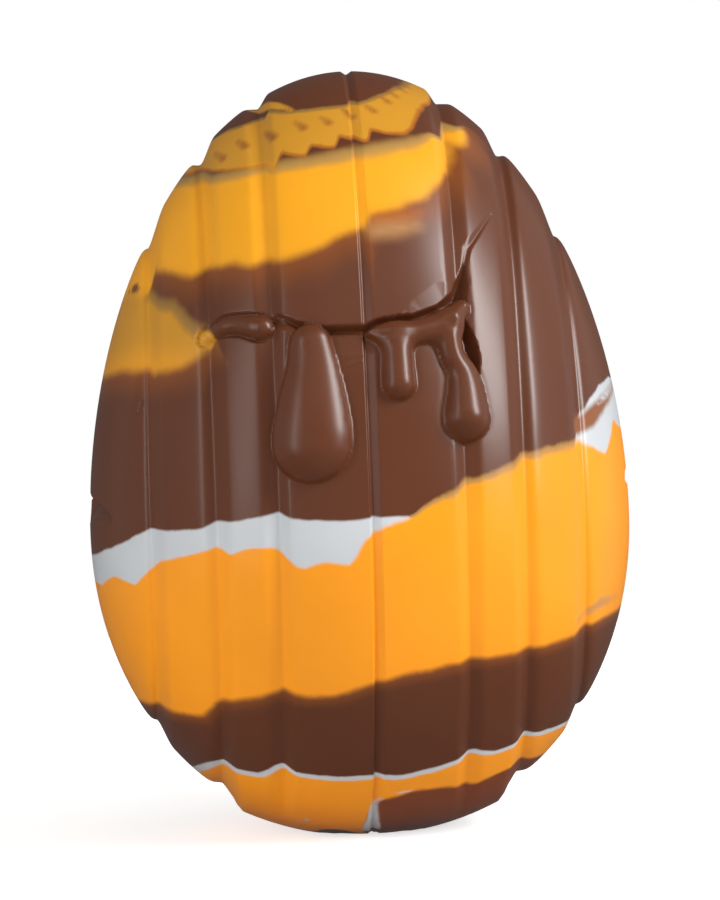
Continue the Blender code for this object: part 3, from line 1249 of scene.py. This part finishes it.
@dataclass(frozen=True)
class SoftBox:
    """A rectangular studio light.

    turn is its direction from the egg, in degrees from the front towards +X.
    """

    name: str
    turn: float
    height: float
    distance: float
    width: float
    length: float
    power: float
    mirrored: bool = True

    def build(self, target: Vector) -> None:
        """Hangs the light so that it faces the target."""
        data = bpy.data.lights.new(self.name, "AREA")
        data.shape = "RECTANGLE"
        data.size = self.width
        data.size_y = self.length
        data.energy = self.power
        light = bpy.data.objects.new(self.name, data)
        turn = math.radians(self.turn)
        light.location = (
            self.distance * math.sin(turn),
            -self.distance * math.cos(turn),
            self.height,
        )
        light.rotation_euler = (target - light.location).to_track_quat("-Z", "Y").to_euler()
        light.visible_camera = False
        light.visible_glossy = self.mirrored
        bpy.context.scene.collection.objects.link(light)


@dataclass(frozen=True)
class Studio:
    """The pale floor, the lights and the camera."""

    target: Vector
    boxes: tuple[SoftBox, ...]
    camera_distance: float = 0.8
    camera_turn: float = -3.0
    camera_tilt: float = 2.0
    camera_roll: float = 1.85
    focal_length: float = 161.0
    film_height: float = 36.0
    look_right: float = 0.0002
    look_down: float = 0.00994
    sky_seen: float = 1.0
    sky_light: float = 0.12
    floor_radius: float = 0.5
    floor_glow_near: float = 0.66
    floor_glow_far: float = 0.95

    def build(self) -> None:
        """Makes the studio round the egg."""
        self.floor()
        self.sky()
        for box in self.boxes:
            box.build(self.target)
        self.camera()
        bpy.context.scene.view_settings.view_transform = "Standard"

    def floor(self) -> None:
        """A wide pale disc that the egg stands on."""
        bm = bmesh.new()
        bmesh.ops.create_circle(bm, cap_ends=True, segments=128, radius=self.floor_radius)
        mesh = bpy.data.meshes.new("floor")
        bm.to_mesh(mesh)
        bm.free()
        floor = bpy.data.objects.new("floor", mesh)
        bpy.context.scene.collection.objects.link(floor)
        material = bpy.data.materials.new("pale_floor")
        material.use_nodes = True
        shader = material.node_tree.nodes["Principled BSDF"]
        shader.inputs["Base Color"].default_value = (0.75, 0.75, 0.75, 1.0)
        shader.inputs["Specular IOR Level"].default_value = 0.0
        shader.inputs["Roughness"].default_value = 0.9
        shader.inputs["Emission Color"].default_value = (1.0, 1.0, 1.0, 1.0)
        tree = material.node_tree
        place = tree.nodes.new("ShaderNodeTexCoord")
        away = tree.nodes.new("ShaderNodeVectorMath")
        away.operation = "LENGTH"
        tree.links.new(place.outputs["Object"], away.inputs[0])
        glow = tree.nodes.new("ShaderNodeMapRange")
        glow.interpolation_type = "SMOOTHSTEP"
        glow.inputs["From Min"].default_value = self.floor_radius * 0.1
        glow.inputs["From Max"].default_value = self.floor_radius * 0.9
        glow.inputs["To Min"].default_value = self.floor_glow_near
        glow.inputs["To Max"].default_value = self.floor_glow_far
        tree.links.new(away.outputs["Value"], glow.inputs["Value"])
        path = tree.nodes.new("ShaderNodeLightPath")
        seen = math_node(tree, "MULTIPLY", glow.outputs["Result"], path.outputs["Is Camera Ray"])
        tree.links.new(seen, shader.inputs["Emission Strength"])
        mesh.materials.append(material)
        floor.visible_glossy = False

    def sky(self) -> None:
        """White all round for the camera, and a softer light for the egg."""
        world = bpy.data.worlds.new("studio")
        bpy.context.scene.world = world
        world.use_nodes = True
        tree = world.node_tree
        path = tree.nodes.new("ShaderNodeLightPath")
        strength = tree.nodes.new("ShaderNodeMapRange")
        strength.inputs["To Min"].default_value = self.sky_light
        strength.inputs["To Max"].default_value = self.sky_seen
        tree.links.new(path.outputs["Is Camera Ray"], strength.inputs["Value"])
        background = tree.nodes["Background"]
        background.inputs["Color"].default_value = (1.0, 1.0, 1.0, 1.0)
        tree.links.new(strength.outputs["Result"], background.inputs["Strength"])

    def camera(self) -> None:
        """Looks at the egg from slightly to its left, with a long lens."""
        turn, tilt = math.radians(self.camera_turn), math.radians(self.camera_tilt)
        ahead = Vector(
            (-math.sin(turn) * math.cos(tilt), math.cos(turn) * math.cos(tilt), -math.sin(tilt))
        )
        right = Vector((math.cos(turn), math.sin(turn), 0.0))
        up = right.cross(ahead)
        roll = math.radians(self.camera_roll)
        leaning_right = right * math.cos(roll) - up * math.sin(roll)
        leaning_up = right * math.sin(roll) + up * math.cos(roll)
        data = bpy.data.cameras.new("camera")
        data.sensor_fit = "VERTICAL"
        data.sensor_height = self.film_height
        data.lens = self.focal_length
        camera = bpy.data.objects.new("camera", data)
        turned = Matrix((leaning_right, leaning_up, -ahead)).transposed().to_4x4()
        spot = (
            self.target
            - ahead * self.camera_distance
            + leaning_right * self.look_right
            + leaning_up * self.look_down
        )
        camera.matrix_world = Matrix.Translation(spot) @ turned
        bpy.context.scene.collection.objects.link(camera)
        bpy.context.scene.camera = camera


def main() -> None:
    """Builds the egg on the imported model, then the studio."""
    logging.basicConfig(level=logging.INFO, format="%(name)s: %(message)s")
    low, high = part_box("egg")
    form = StavedForm(radius=(high.x - low.x) / 2.0, height=high.z)
    egg = ChocolateEgg(form, RELIEF, MARBLING, SatinChocolate())
    egg.build()
    egg.dress()
    egg.fit()
    studio = Studio(
        target=Vector((0.0, 0.0, 65 * MM)),
        boxes=(
            SoftBox("box_right", 59.0, 0.50, 0.75, 0.25, 0.55, 7.4),
            SoftBox("wall_right", 105.0, 0.35, 0.90, 1.20, 1.40, 1.8),
            SoftBox("fill_right", 75.0, 0.30, 1.10, 0.80, 0.80, 1.4, mirrored=False),
            SoftBox("box_left", -50.0, 0.30, 0.80, 0.12, 0.60, 1.1),
            SoftBox("wall_left", -100.0, 0.35, 0.90, 1.20, 1.40, 0.8),
            SoftBox("fill_left", -70.0, 0.30, 1.10, 0.80, 0.60, 2.8, mirrored=False),
            SoftBox("box_front", 0.0, 0.75, 0.75, 0.80, 0.40, 0.5),
            SoftBox("fill_front", -15.0, 0.17, 1.10, 1.20, 0.30, 3.6, mirrored=False),
            SoftBox("box_top", 0.0, 1.25, 0.10, 1.5, 1.5, 3.6, mirrored=False),
        ),
    )
    studio.build()


if __name__ == "__main__":
    main()
